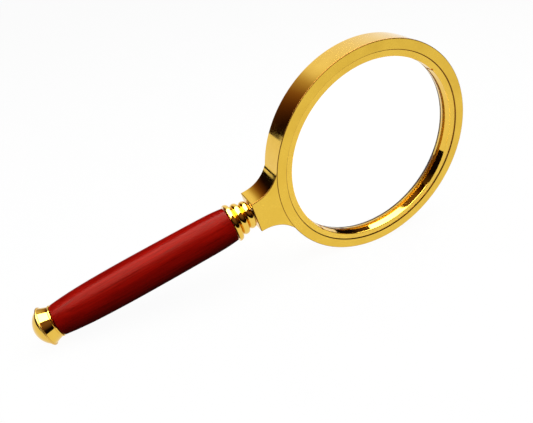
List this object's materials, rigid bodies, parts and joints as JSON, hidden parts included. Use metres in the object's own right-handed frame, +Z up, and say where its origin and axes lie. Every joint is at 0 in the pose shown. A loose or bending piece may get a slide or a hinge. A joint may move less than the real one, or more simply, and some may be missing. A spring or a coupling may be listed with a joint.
{
  "type": "magnifying glass",
  "caption": "Hand magnifier: a round lens in a gold-plated ring frame with a flared yoke, on a turned wooden handle with a beaded ferrule and a domed pommel.",
  "frame": {"origin": "on the floor, under the middle of the object's length, as it stands on the rim of its ring and the rim of its pommel", "axes": "+Z up; -Y out of the front of the lens, along the lens axis; +X from the pommel towards the ring, along the floor"},
  "size_m": [0.2072, 0.0174, 0.0999],
  "materials": {
    "gold_satin": "gold plated, satin faces and polished band",
    "optical_glass": "clear polished",
    "gold_retaining_ring": "gold plated, satin face and polished bore",
    "gold_ferrule": "gold plated, polished",
    "stud_steel": "machined",
    "red_stained_wood": "dark red stain under a satin lacquer",
    "insert_brass": "machined",
    "pommel_insert_brass": "machined",
    "pommel_stud_steel": "machined",
    "gold_pommel": "gold plated, polished"
  },
  "bodies": {
    "frame": {"lens_frame": "gold_satin"},
    "lens": {"lens_glass": "optical_glass"},
    "retaining_ring": {"retaining_ring": "gold_retaining_ring"},
    "ferrule": {"ferrule": "gold_ferrule"},
    "handle": {"handle_grip": "red_stained_wood", "neck_stud": "stud_steel", "handle_insert": "insert_brass", "pommel_insert": "pommel_insert_brass", "pommel_stud": "pommel_stud_steel", "pommel": "gold_pommel"}
  },
  "joints": [
    {"name": "lens_draw_out", "type": "slide", "parent": "frame", "child": "lens", "axis": [0, -1, 0], "range_m": [0, 0.00413]},
    {"name": "retaining_ring_turn", "type": "hinge", "parent": "lens", "child": "retaining_ring", "pos_m": [0.05368, 0, 0.04995], "axis": [0, -1, 0], "range_deg": [0, 1980.1]},
    {"name": "handle_draw_off", "type": "slide", "parent": "frame", "child": "ferrule", "axis": [-0.9644, 0, -0.2643], "range_m": [0, 0.01]},
    {"name": "handle_turn", "type": "hinge", "parent": "ferrule", "child": "handle", "pos_m": [-0.0066, 0, 0.03344], "axis": [-0.9644, 0, -0.2643], "range_deg": [0, 3600.1]}
  ],
  "couplings": [
    {"joint": "retaining_ring_turn", "follows": "lens_draw_out", "rad_per_m": 8377.6},
    {"joint": "handle_turn", "follows": "handle_draw_off", "rad_per_m": 6283.2}
  ]
}
